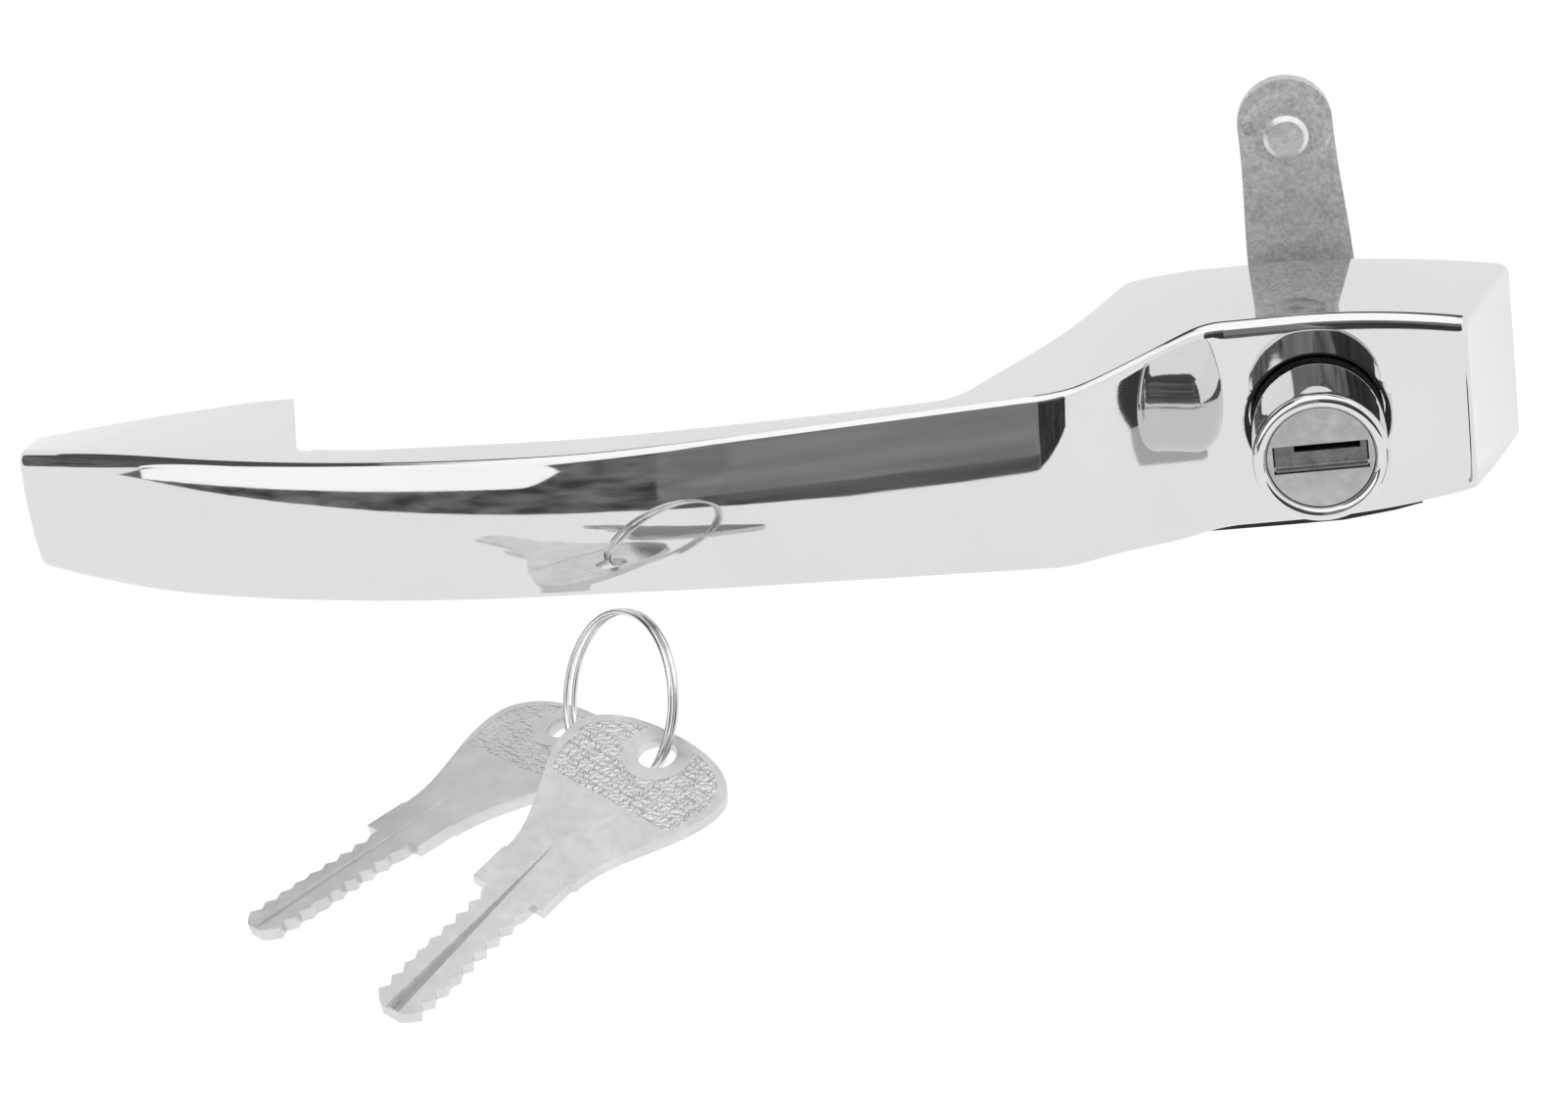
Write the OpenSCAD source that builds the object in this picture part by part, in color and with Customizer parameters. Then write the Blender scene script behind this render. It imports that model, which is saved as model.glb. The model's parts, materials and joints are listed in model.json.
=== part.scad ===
// Exterior car door handle: chrome pull, push button with lock, release lever, two keys.
// Millimetres. Mounting plane is y = 0, +y into the door, +z up, +x towards the lock end.
// Origin: midway between the two fixing screws, on the mounting plane.

/* [Handle] */
// depth of the lock housing in front of the door skin
housing_depth = 23; // [21:0.5:25]
// distance from the door skin to the front of the grip
grip_reach = 42.4; // [40:0.2:46]
// sideways position of the left end
end_left = -140.3; // [-142:0.1:-138]
// half height of the grip
grip_half = 13.3; // [12.5:0.1:14]
// spacing of the two fixing screws
fixing_spacing = 228; // [227:0.5:229]
// radius of the tapping hole for each M6 fixing screw
fixing_hole_r = 2.5; // [2.4:0.05:2.6]
// depth of the tapped holes
fixing_hole_depth = 14; // [10:0.5:16]

/* [Button and lock] */
// sideways position of the button axis
button_x = 91; // [90:0.5:91.5]
// how far the button stands out of the housing face
button_out = 17; // [15:0.5:18]
// radius of the chrome button sleeve
sleeve_r = 11.4; // [11.2:0.05:11.5]
// radius of the lock core
core_r = 9; // [8.8:0.05:9.1]
// running clearance on the radius, button in its guide and core in its barrel
run_gap = 0.05; // [0.03:0.01:0.08]
// number of wafer tumblers
wafer_count = 6; // [4:1:6]

/* [Release lever] */
// height of the rivet that carries the roller
rivet_z = 42.2; // [40:0.2:44]
// radius of the roller
roller_r = 8.2; // [7.8:0.1:8.6]
// height of the lever pivot
pivot_z = -10; // [-10.4:0.1:-9.6]
// depth of the lever pivot behind the door skin
pivot_y = 11; // [10.9:0.1:11.5]

/* [Keys] */
// length of each key
key_length = 70.6; // [70:0.2:71.4]
// thickness of each key
key_thick = 2.1; // [1.9:0.1:2.2]
// mean radius of the split ring
ring_r = 14.7; // [14.6:0.05:14.75]

/* [Hidden] */
$fn = 72;
chrome = [0.86, 0.87, 0.89];
zinc = [0.66, 0.67, 0.68];
steel = [0.74, 0.75, 0.77];
brass = [0.78, 0.66, 0.36];
rubber = [0.1, 0.1, 0.11];
nylon = [0.93, 0.93, 0.9];

// outline of the handle along x
flat_x = -9;            // left of here the grip sweeps back to the foot
sweep_len = 130;
sweep_depth = 28.9;
facet_x0 = 48;          // facet between grip and housing
facet_x1 = 73.5;
face_end_x = 117.4;     // right edge of the housing face
end_skew = 8.6;         // the end face leans out by this much at the door
foot_inner_x = -91;     // inner wall of the foot, at the door skin
neck_x = 60;            // inner wall of the housing, at the door skin
wall = 2.5;
cavity_x0 = button_x - 25;
cavity_x1 = button_x + 17.5;
cavity_half_z = 15.5;
plate_t = 2;
plate_screws_at = [[-20.5, 11.5], [-20.5, -11.5], [14.3, 12.3], [14.3, -12.3]];
screw_r = 1.5;

// lock, measured along y
button_front = -housing_depth - button_out;
guide_end = -12;
barrel_r = sleeve_r - 0.8;
barrel_front = button_front + 0.8;
core_front = button_front + 1.1;
core_back = -13;
barrel_step = -8;
barrel_back = -6.1;
tail_r = 4;
cam_front = -6;
cam_back = -3.5;
finger_orbit = 7;
finger_r = 2.5;
finger_tip = 4.6;
shutter_z = -1.9;
shutter_y = core_front + 1;
pocket_back = core_front + 5.6;
wafer_t = 1;
wafer_pitch = 2.6;
wafer_y0 = core_front + 6.9;

// lever, measured along y
lever_front = 5;
lever_t = 2.5;
lever_tilt_x = -1.2;
lever_half = 9.25;
roller_y0 = lever_front + lever_t + 0.9;
roller_w = 5;

// ---------- helpers ----------
function clamp(v, a, b) = min(max(v, a), b);
function ease(t) = let(c = clamp(t, 0, 1)) c * c * (3 - 2 * c);
// ramp that starts at u = 0 with its corner rounded over 2 r
function corner(u, r) = u <= -r ? 0 : u >= r ? u : pow(u + r, 2) / (4 * r);
function soft_max(a, b, r) = a + corner(b - a, r);

// cylinder along y
module rod(r, y0, y1, x = 0, z = 0) {
  translate([x, y0, z]) rotate([-90, 0, 0]) cylinder(r = r, h = y1 - y0);
}

// tube along y
module tube(ro, ri, y0, y1) {
  difference() {
    rod(ro, y0, y1);
    rod(ri, y0 - 1, y1 + 1);
  }
}

// cylinder along x, centred on x = 0
module axle(r, w, y, z) {
  translate([-w / 2, y, z]) rotate([0, 90, 0]) cylinder(r = r, h = w);
}

module box(x0, x1, y0, y1, z0, z1) {
  translate([x0, y0, z0]) cube([x1 - x0, y1 - y0, z1 - z0]);
}

module at_button() {
  translate([button_x, 0, 0]) children();
}

// round wire wound about z, from z = 0 to z = length
module coil(mean_r, wire_r, length, turns, steps = 22, sides = 8) {
  n = ceil(turns * steps);
  points = [for (i = [0:n], j = [0:sides - 1])
    let(a = 360 * turns * i / n, b = 360 * j / sides, r = mean_r + wire_r * cos(b),
        z = wire_r + (length - 2 * wire_r) * i / n + wire_r * sin(b))
    [r * cos(a), r * sin(a), z]];
  side_faces = [for (i = [0:n - 1], j = [0:sides - 1])
    let(k = (j + 1) % sides, p = i * sides, q = p + sides)
    each [[p + j, p + k, q + k], [p + j, q + k, q + j]]];
  caps = [[for (j = [sides - 1:-1:0]) j], [for (j = [0:sides - 1]) n * sides + j]];
  polyhedron(points, concat(side_faces, caps));
}

// ---------- handle body ----------
function grip_front(x) = -grip_reach + sweep_depth * pow(max(0, flat_x - x) / sweep_len, 2.35)
  + 0.018 * max(0, x - flat_x);
function front_y(x) = let(y0 = grip_front(facet_x0), slope = (-housing_depth - y0) / (facet_x1 - facet_x0))
  grip_front(min(x, facet_x0)) + slope * (corner(x - facet_x0, 4) - corner(x - facet_x1, 3));

function grip_back(x) = -34.3 + 8.3 * pow(clamp((19 - x) / 104, 0, 1), 1.6);
function back_y(x) = min(0, soft_max(soft_max(grip_back(x), -4.73 * (x - foot_inner_x), 3),
                                     1.214 * (x - neck_x), 4));

function front_half(x) = grip_half + 0.0364 * (corner(x + 32, 8) - corner(x - 45, 4))
  + 3 * ease((x - 49) / 26) - 3.3 * pow(max(0, x - 87) / 30.4, 2)
  - 1.7 * pow(max(0, -109 - x) / 28, 2);
function draft(x) = 0.075 * ease((x - 41) / 22) * (1 - clamp((x - 91) / 42, 0, 0.65))
  - (x < foot_inner_x + 8 ? 0.02 + 0.1 * max(0, -99 - x) / 38 : 0);
function back_half(x) = front_half(x) + draft(x) * (back_y(x) - front_y(x));

// how far the front face bulges between its top and bottom edges
function crown(x) = 1.5 - 1.35 * ease((x - 40) / 26);
// how far the top and bottom faces bulge between front and back, as a share of their depth
function bow(x) = 0.02 + 0.06 * ease((x - 41) / 22);
// radius along the front edges, larger at the left end and on the housing
function front_round(x) = 1.5 + 1.1 * ease((-104 - x) / 26) + 0.6 * ease((x - 64) / 9);
function back_round(x) = 0.4 + 1.8 * ease((x + 87) / 16) * (1 - ease((x - 26) / 12));
function end_shift(x) = end_skew * clamp((x - 92) / (face_end_x - 92), 0, 1);

// closed section at x, drawn inwards by d
function section(x, d) =
  let(rf = front_round(x), rr = back_round(x), hf = front_half(x) - d, hr = back_half(x) - d,
      yf = front_y(x) + d, yr = min(back_y(x), yf + 40), c = crown(x), y1 = yf + c * pow((hf - rf) / hf, 2),
      top = concat([for (f = [0, 0.35, 0.65, 0.85]) [yf + c * pow(f * (hf - rf) / hf, 2), f * (hf - rf)]],
                   [for (a = [0:22.5:90]) [y1 + rf - rf * cos(a), hf - rf + rf * sin(a)]],
                   [for (t = [0.25, 0.5, 0.75]) let(ya = y1 + rf, yb = yr - rr)
                     [ya + (yb - ya) * t, hf + (hr - hf) * t + bow(x) * (yb - ya) * t * (1 - t)]],
                   [for (a = [90:-30:0]) [yr - rr + rr * cos(a), hr - rr + rr * sin(a)]],
                   [[yr, 0]]),
      n = len(top),
      loop = concat(top, [for (i = [n - 2:-1:1]) [top[i][0], -top[i][1]]]))
  [for (p = loop) [x + end_shift(x) * clamp((p[0] - yf) / (-yf), 0, 1), p[0], p[1]]];

end_round = 1.4;
stations = concat(
  [for (a = [0, 30, 60, 90]) [end_left + end_round * (1 - cos(a)), end_round * (1 - sin(a))]],
  [for (x = [-137:4:-93]) [x, 0]],
  [for (x = [foot_inner_x - 0.2:0.9:-81]) [x, 0]],
  [for (x = [-79:5:16]) [x, 0]],
  [for (x = [20:2.2:82]) [x, 0]],
  [for (x = [85:4:113]) [x, 0]],
  [for (a = [90, 60, 30, 0]) [face_end_x - end_round * (1 - cos(a)), end_round * (1 - sin(a))]]);

module body_skin() {
  rings = [for (s = stations) section(s[0], s[1])];
  m = len(rings[0]);
  n = len(rings);
  points = [for (ring = rings) each ring];
  sides = [for (i = [0:n - 2], j = [0:m - 1])
    let(k = (j + 1) % m, p = i * m, q = p + m)
    each [[p + j, q + j, q + k], [p + j, q + k, p + k]]];
  caps = [[for (j = [0:m - 1]) j], [for (j = [m - 1:-1:0]) (n - 1) * m + j]];
  polyhedron(points, concat(sides, caps));
}

module body_pockets() {
  box(cavity_x0, cavity_x1, -housing_depth + wall, 1, -cavity_half_z, cavity_half_z);
  for (m = [0, 1]) mirror([0, 0, m]) box(button_x + 19, button_x + 29, -13, 1, 8, 12.5);
  box(-133, -121, -7, 1, -6.5, 6.5);
}

module handle_body() {
  color(chrome) difference() {
    union() {
      difference() {
        body_skin();
        body_pockets();
      }
      at_button() rod(14, -housing_depth + wall - 0.5, guide_end);
      at_button() for (p = plate_screws_at) rod(3, -housing_depth + wall - 0.5, -plate_t, p[0], p[1]);
    }
    at_button() rod(sleeve_r + 1, -housing_depth - 2, -housing_depth + 3.5);
    at_button() rod(sleeve_r + run_gap, -housing_depth + 3, guide_end + 1);
    at_button() for (p = plate_screws_at) rod(screw_r, -10, 0, p[0], p[1]);
    for (s = [-1, 1]) rod(fixing_hole_r, -fixing_hole_depth, 1, s * fixing_spacing / 2);
  }
}

module button_seal() {
  color(rubber) at_button() tube(sleeve_r + 1, sleeve_r + 0.35, -housing_depth + 1.1, -housing_depth + 3.4);
}

// ---------- back plate and pivot ----------
ear_x0 = 9.5;
ear_t = 2;
ear_r = 4.6;

module plate_ears() {
  for (m = [0, 1]) mirror([m, 0, 0]) {
    box(ear_x0, ear_x0 + ear_t, -0.5, pivot_y, pivot_z - ear_r, pivot_z + ear_r);
    translate([ear_x0 + ear_t / 2, 0, 0]) axle(ear_r, ear_t, pivot_y, pivot_z);
  }
}

module back_plate() {
  color(zinc) at_button() difference() {
    union() {
      box(-24.8, 17.3, -plate_t, 0, -cavity_half_z + 0.2, cavity_half_z - 0.2);
      plate_ears();
    }
    rod(10.2, -plate_t - 1, 1);
    for (p = plate_screws_at) rod(screw_r + 0.2, -plate_t - 1, 1, p[0], p[1]);
    axle(2.02, 40, pivot_y, pivot_z);
  }
}

module plate_screws() {
  color(steel) at_button() for (p = plate_screws_at) difference() {
    union() {
      rod(screw_r - 0.02, -9.5, 0.2, p[0], p[1]);
      rod(2.6, 0, 1.8, p[0], p[1]);
    }
    box(p[0] - 0.35, p[0] + 0.35, 1, 2, p[1] - 1.6, p[1] + 1.6);
    box(p[0] - 1.6, p[0] + 1.6, 1, 2, p[1] - 0.35, p[1] + 0.35);
  }
}

module pivot_pin() {
  color(steel) at_button() difference() {
    axle(2, 28, pivot_y, pivot_z);
    for (m = [0, 1]) mirror([m, 0, 0]) translate([12, 0, 0]) difference() {
      axle(3, 0.7, pivot_y, pivot_z);
      axle(1.5, 2, pivot_y, pivot_z);
    }
  }
}

module pin_clips() {
  color(steel) at_button() for (m = [0, 1]) mirror([m, 0, 0]) translate([12, 0, 0]) difference() {
    axle(3.6, 0.6, pivot_y, pivot_z);
    axle(1.52, 2, pivot_y, pivot_z);
    box(-1, 1, pivot_y - 1, pivot_y + 1, pivot_z, pivot_z + 5);
  }
}

module lever_spring() {
  color(steel) at_button() {
    translate([-4.5, pivot_y, pivot_z]) rotate([0, 90, 0]) coil(2.72, 0.4, 9, 7.5, 16, 6);
    rod(0.4, 0.05, pivot_y, -4.1, pivot_z - 2.72);
    rod(0.4, lever_front + lever_t + 0.05, pivot_y, 4.1, pivot_z + 2.72);
  }
}

// ---------- button ----------
module return_spring() {
  color(steel) at_button() translate([0, -10.6, 0]) rotate([-90, 0, 0]) coil(11.7, 0.6, 8.5, 2.6, 28, 8);
}

module button_sleeve() {
  color(chrome) at_button() {
    tube(sleeve_r, sleeve_r - 0.78, barrel_front, guide_end);
    translate([0, button_front + 0.8, 0]) rotate([-90, 0, 0]) rotate_extrude() {
      translate([sleeve_r - 0.4, 0]) circle(r = 0.8);
    }
  }
}

module lock_barrel() {
  color(zinc) at_button() difference() {
    union() {
      rod(barrel_r, button_front + 1.9, barrel_step);
      rod(8.5, barrel_step - 1, barrel_back);
    }
    rod(core_r + run_gap, button_front, core_back + 0.1);
    rod(core_r + 0.8, wafer_y0 - 1, wafer_y0 + wafer_count * wafer_pitch - 0.6);
    rod(tail_r + run_gap, core_back - 1, barrel_back + 1);
    tube(barrel_r + 1, 9.9, guide_end + 0.1, guide_end + 1.3);
  }
}

module retaining_clip() {
  color(steel) at_button() difference() {
    tube(13.2, 9.92, guide_end + 0.15, guide_end + 1.25);
    box(-2, 2, guide_end - 1, guide_end + 3, -14, -8);
  }
}

// ---------- lock core ----------
module lock_core() {
  color(steel) at_button() difference() {
    union() {
      rod(core_r, core_front, core_back);
      rod(tail_r, core_back - 1, cam_front);
    }
    box(-8, 8, core_front - 1, pocket_back, -2.5, 2.5);
    box(-4.7, 4.7, core_front, core_back - 3, -1.3, 1.3);
    for (i = [0:wafer_count - 1]) translate([0, wafer_y0 + i * wafer_pitch, 0])
      box(-6.15, 6.15, -0.1, wafer_t + 0.1, -core_r - 1, core_r + 1);
    axle(0.5, 17.2, shutter_y, shutter_z);
    axle(0.92, 16, shutter_y, shutter_z);
    rod(1.5, core_back - 2, 0);
  }
}

module shutter_pin() {
  color(steel) at_button() axle(0.48, 17, shutter_y, shutter_z);
}

module key_shutter() {
  color(steel) at_button() difference() {
    union() {
      axle(0.85, 15.4, shutter_y, shutter_z);
      box(-7.7, 7.7, shutter_y - 0.4, shutter_y + 0.4, shutter_z, 1.1);
      box(-7.7, -4.4, shutter_y - 0.4, shutter_y + 0.4, 1, 2.3);
      box(6.7, 7.7, shutter_y - 0.4, shutter_y + 0.4, 1, 2.3);
    }
    axle(0.55, 20, shutter_y, shutter_z);
  }
}

module wafer_tumblers() {
  color(brass) at_button() for (i = [0:wafer_count - 1]) translate([0, wafer_y0 + i * wafer_pitch, 0])
    difference() {
      intersection() {
        rod(core_r - 0.1, 0, wafer_t);
        box(-6, 6, -1, 2, -core_r, core_r);
      }
      box(-4.8, 4.8, -1, 2, -2.1, 1.5);
    }
}

module tail_cam() {
  color(zinc) at_button() difference() {
    union() {
      rod(9, cam_front + 0.05, cam_back);
      rod(finger_r, cam_back - 0.5, finger_tip - finger_r, 0, finger_orbit);
      translate([0, finger_tip - finger_r, finger_orbit]) sphere(r = finger_r);
    }
    rod(1.6, cam_front - 1, cam_back + 1);
  }
}

module cam_screw() {
  color(steel) at_button() difference() {
    union() {
      rod(1.48, core_back - 1.5, cam_back + 0.3);
      rod(3, cam_back, cam_back + 2);
    }
    box(-3.2, 3.2, cam_back + 1.1, cam_back + 3, -0.4, 0.4);
  }
}

// ---------- lever ----------
// half width of the lever plate at height z
function lever_side(z) = lever_half - 1.05 * ease((z - 16) / 26);
end_z = rivet_z + 1.8;
end_r = 8.2;

module lever_outline() {
  left = [for (z = [-12:4:44]) [lever_tilt_x * clamp(z / 44, 0, 1) - lever_side(z), z]];
  right = [for (z = [44:-4:-12]) [lever_tilt_x * clamp(z / 44, 0, 1) + lever_side(z), z]];
  polygon(concat(left, right));
  translate([lever_tilt_x, end_z]) circle(r = end_r);
}

module release_lever() {
  color(zinc) at_button() difference() {
    union() {
      translate([0, lever_front + lever_t, 0]) rotate([90, 0, 0]) linear_extrude(lever_t) lever_outline();
      rod(7.4, lever_front - 0.5, lever_front + 1, lever_tilt_x, rivet_z);
      for (m = [0, 1]) mirror([m, 0, 0]) {
        box(6.9, lever_half, lever_front + 1, pivot_y, pivot_z - 2, pivot_z + 4.5);
        translate([(6.9 + lever_half) / 2, 0, 0]) axle(4.3, lever_half - 6.9, pivot_y, pivot_z);
      }
    }
    rod(2.52, 0, 12, lever_tilt_x, rivet_z);
    rod(4.3, 0, 10, finger_orbit + 0.8, 0);
    rod(1.35, lever_front - 1, lever_front + 0.3, lever_tilt_x - 6.1, rivet_z + 1.7);
    axle(2 + run_gap, 30, pivot_y, pivot_z);
  }
}

module lever_rivet() {
  head_y = lever_front - 0.5;
  color(steel) at_button() translate([lever_tilt_x, 0, rivet_z]) rotate([-90, 0, 0]) rotate_extrude() {
    polygon([[0, head_y - 1.8], [3.1, head_y - 1.8], [3.9, head_y - 1.1], [3.9, head_y], [2.5, head_y],
             [2.5, roller_y0 + roller_w + 0.3], [4.2, roller_y0 + roller_w + 0.3],
             [4.2, roller_y0 + roller_w + 1], [3.4, roller_y0 + roller_w + 1.7],
             [0, roller_y0 + roller_w + 1.7]]);
  }
}

module roller_washer() {
  color(steel) at_button() translate([lever_tilt_x, 0, rivet_z])
    tube(4.8, 2.52, lever_front + lever_t + 0.02, roller_y0 - 0.2);
}

module lever_roller() {
  color(nylon) at_button() translate([lever_tilt_x, 0, rivet_z]) rotate([-90, 0, 0]) rotate_extrude() {
    polygon([[2.5 + run_gap, roller_y0], [roller_r - 0.6, roller_y0], [roller_r, roller_y0 + 0.6],
             [roller_r, roller_y0 + roller_w - 0.6], [roller_r - 0.6, roller_y0 + roller_w],
             [2.5 + run_gap, roller_y0 + roller_w]]);
  }
}

// ---------- keys ----------
key_hole_u = key_length - 5.05;
head_u = key_length - 8.65;
head_half = 15.9;

// half width of the key outline: cut blade, shoulder, flared head with a rounded end
function blade_side(seed) = concat([[0, 1.7], [0.75, 2.95]],
  [for (k = [0:16]) [2.3 + 1.53 * k, 4.42 - (k % 2 == 1 ? 0.58 + 0.63 * abs(sin(seed * k)) : 0)]]);
function head_side(w0, u0) = concat([[u0, 4.42], [u0, w0], [35.8, w0]],
  [for (t = [0:0.1:1]) [36.3 + (head_u - 36.3) * t, 7.15 + (head_half - 7.15) * ease(t)]],
  [for (a = [10:10:90]) [head_u + 8.65 * pow(sin(a), 0.9), head_half * pow(cos(a), 0.9)]]);

module key_shape(seed) {
  right = concat(blade_side(seed), head_side(6.5, 29.1));
  left = concat(blade_side(seed + 31), head_side(7.6, 28.4));
  polygon(concat([for (p = right) [p[0], -p[1]]], [for (i = [len(left) - 2:-1:0]) left[i]]));
}

// key with its tip at the origin, blade along +x, broad faces across z
module key_blank(seed) {
  difference() {
    translate([0, 0, -key_thick * 0.6]) linear_extrude(key_thick) difference() {
      key_shape(seed);
      translate([key_hole_u, 0]) circle(r = 3.3);
    }
    translate([0.4, 0, key_thick * 0.4]) rotate([0, -1, 0]) rotate([90, 0, 90]) linear_extrude(40)
      polygon([[-1.5, 0], [1.1, -0.75], [1.1, 2], [-1.5, 2]]);
    box(1, 32, -2.7, -1.6, -key_thick, -key_thick * 0.6 + 0.5);
  }
}

key_front_tip = [-59.83, -133.46, -38.59];
key_front_turn = [15.23, -13.28, 52.29];
key_back_tip = [-85.46, -110.15, -35.13];
key_back_turn = [-1.32, -7.94, 43.58];
ring_at = [-27.27, -71.92, -18.05];
ring_lean = 21.97;
ring_turn = -50.62;
ring_wire = 0.5;
ring_turns = 1.95;

module key_front() {
  color(steel) translate(key_front_tip) rotate(key_front_turn) key_blank(73);
}

module key_back() {
  color(steel) translate(key_back_tip) rotate(key_back_turn) key_blank(73);
}

// split ring: two turns of wire side by side, sprung slightly open on the side of the back key
module split_ring(steps, sides) {
  n = ceil(ring_turns * steps);
  points = [for (i = [0:n], j = [0:sides - 1])
    let(a = 290 + 360 * ring_turns * i / n, b = 360 * j / sides, m = ring_turns * (i / n - 0.5),
        r = ring_r + ring_wire * cos(b), z = m * (1.35 - 0.3 * cos(a)) + ring_wire * sin(b))
    [r * cos(a), r * sin(a), z]];
  wall_faces = [for (i = [0:n - 1], j = [0:sides - 1])
    let(k = (j + 1) % sides, p = i * sides, q = p + sides)
    each [[p + j, p + k, q + k], [p + j, q + k, q + j]]];
  ends = [[for (j = [sides - 1:-1:0]) j], [for (j = [0:sides - 1]) n * sides + j]];
  polyhedron(points, concat(wall_faces, ends));
}

module key_ring() {
  color(steel) translate(ring_at) rotate([0, 0, ring_turn]) rotate([90 - ring_lean, 0, 0]) split_ring(56, 8);
}

handle_body();
button_seal();
back_plate();
plate_screws();
pivot_pin();
pin_clips();
lever_spring();
return_spring();
button_sleeve();
lock_barrel();
retaining_clip();
lock_core();
shutter_pin();
tail_cam();
cam_screw();
key_shutter();
wafer_tumblers();
release_lever();
lever_rivet();
roller_washer();
lever_roller();
key_ring();
key_front();
key_back();
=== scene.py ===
import json
import math

import bmesh
import bpy
import numpy as np
from mathutils import Euler, Matrix, Vector


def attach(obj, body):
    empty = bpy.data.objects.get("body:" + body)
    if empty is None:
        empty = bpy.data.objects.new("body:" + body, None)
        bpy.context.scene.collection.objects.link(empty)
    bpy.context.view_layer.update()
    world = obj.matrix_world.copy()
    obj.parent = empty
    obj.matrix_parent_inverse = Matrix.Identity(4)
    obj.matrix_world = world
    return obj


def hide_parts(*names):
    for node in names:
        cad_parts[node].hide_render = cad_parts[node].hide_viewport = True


# Chrome car door handle with its button lock, latch lever and two keys on a ring: looks and studio.
# Pieces are modelled in millimetres and stored in metres, in the frame of the CAD model.
MM = 0.001
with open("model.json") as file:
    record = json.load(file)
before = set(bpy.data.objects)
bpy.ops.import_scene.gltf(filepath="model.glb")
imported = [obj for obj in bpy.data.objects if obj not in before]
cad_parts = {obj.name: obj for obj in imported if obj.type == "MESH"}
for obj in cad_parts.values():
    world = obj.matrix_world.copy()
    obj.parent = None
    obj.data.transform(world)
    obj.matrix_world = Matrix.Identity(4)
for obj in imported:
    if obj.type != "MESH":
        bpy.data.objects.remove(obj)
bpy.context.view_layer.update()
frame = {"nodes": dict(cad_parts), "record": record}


# ---------------------------------------------------------------- materials
class Nodes:
    """A Principled material with shorthands for its procedural nodes."""

    def __init__(self, name, base, rough, metallic=0.0):
        self.mat = bpy.data.materials.new(name)
        self.mat.use_nodes = True
        self.tree = self.mat.node_tree
        self.bsdf = self.tree.nodes["Principled BSDF"]
        self.bsdf.inputs["Base Color"].default_value = (*base, 1)
        self.bsdf.inputs["Roughness"].default_value = rough
        self.bsdf.inputs["Metallic"].default_value = metallic
        self.base = base
        self.coord = self.tree.nodes.new("ShaderNodeTexCoord")
        self.bump_from = None

    def link(self, a, b):
        self.tree.links.new(a, b)

    def mapping(self, scale, turn=(0, 0, 0)):
        m = self.tree.nodes.new("ShaderNodeMapping")
        m.inputs["Scale"].default_value = scale
        m.inputs["Rotation"].default_value = turn
        self.link(self.coord.outputs["Object"], m.inputs["Vector"])
        return m.outputs["Vector"]

    def noise(self, scale, detail=3, rough=0.5, stretch=(1, 1, 1), turn=(0, 0, 0), distortion=0.0):
        n = self.tree.nodes.new("ShaderNodeTexNoise")
        n.inputs["Scale"].default_value = scale
        n.inputs["Detail"].default_value = detail
        n.inputs["Roughness"].default_value = rough
        n.inputs["Distortion"].default_value = distortion
        self.link(self.mapping(stretch, turn), n.inputs["Vector"])
        return n.outputs["Fac"]

    def cells(self, scale):
        n = self.tree.nodes.new("ShaderNodeTexVoronoi")
        n.inputs["Scale"].default_value = scale
        self.link(self.mapping((1, 1, 1)), n.inputs["Vector"])
        return n.outputs["Distance"]

    def ramp(self, fac, stops):
        r = self.tree.nodes.new("ShaderNodeValToRGB")
        els = r.color_ramp.elements
        while len(els) < len(stops):
            els.new(0.5)
        for e, (pos, val) in zip(els, stops):
            e.position = pos
            e.color = (*val, 1) if isinstance(val, tuple) else (val, val, val, 1)
        self.link(fac, r.inputs["Fac"])
        return r.outputs["Color"]

    def colour(self, fac, lo, hi, a=0.3, b=0.7):
        """Base colour goes from lo to hi times the base as fac goes from a to b."""
        dark = tuple(c * lo for c in self.base)
        light = tuple(min(1, c * hi) for c in self.base)
        self.link(self.ramp(fac, [(a, dark), (b, light)]), self.bsdf.inputs["Base Color"])

    def roughness(self, fac, lo, hi):
        self.link(self.ramp(fac, [(0.3, lo), (0.7, hi)]), self.bsdf.inputs["Roughness"])

    def bump(self, fac, depth):
        """Surface relief of depth metres, laid over the reliefs that are there already."""
        n = self.tree.nodes.new("ShaderNodeBump")
        n.inputs["Distance"].default_value = depth
        n.inputs["Strength"].default_value = 1.0
        self.link(fac, n.inputs["Height"])
        if self.bump_from:
            self.link(self.bump_from, n.inputs["Normal"])
        self.bump_from = n.outputs["Normal"]
        self.link(self.bump_from, self.bsdf.inputs["Normal"])


def chrome_plate():
    m = Nodes("chrome_plate", (0.71, 0.712, 0.717), 0.04, 1)
    m.colour(m.noise(26, 5, 0.6), 0.96, 1.0)
    m.roughness(m.noise(60, 5, 0.65), 0.018, 0.06)
    m.bump(m.noise(28, 2), 0.00005)
    m.bump(m.noise(900, 2, stretch=(0.15, 1, 1)), 0.0000012)
    return m.mat


def core_plate():
    m = Nodes("core_plate", (0.47, 0.475, 0.48), 0.2, 1)
    m.colour(m.noise(240, 4), 0.9, 1.06)
    m.roughness(m.noise(500, 5, 0.6), 0.16, 0.34)
    m.bump(m.noise(1400, 3, stretch=(0.12, 1, 1), turn=(0, 0.5, 0)), 0.000006)
    return m.mat


def die_cast_zinc():
    m = Nodes("die_cast_zinc", (0.56, 0.57, 0.58), 0.42, 1)
    m.colour(m.noise(300, 5), 0.82, 1.08)
    m.roughness(m.noise(700, 4), 0.34, 0.52)
    m.bump(m.noise(2200, 3), 0.00002)
    return m.mat


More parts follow.
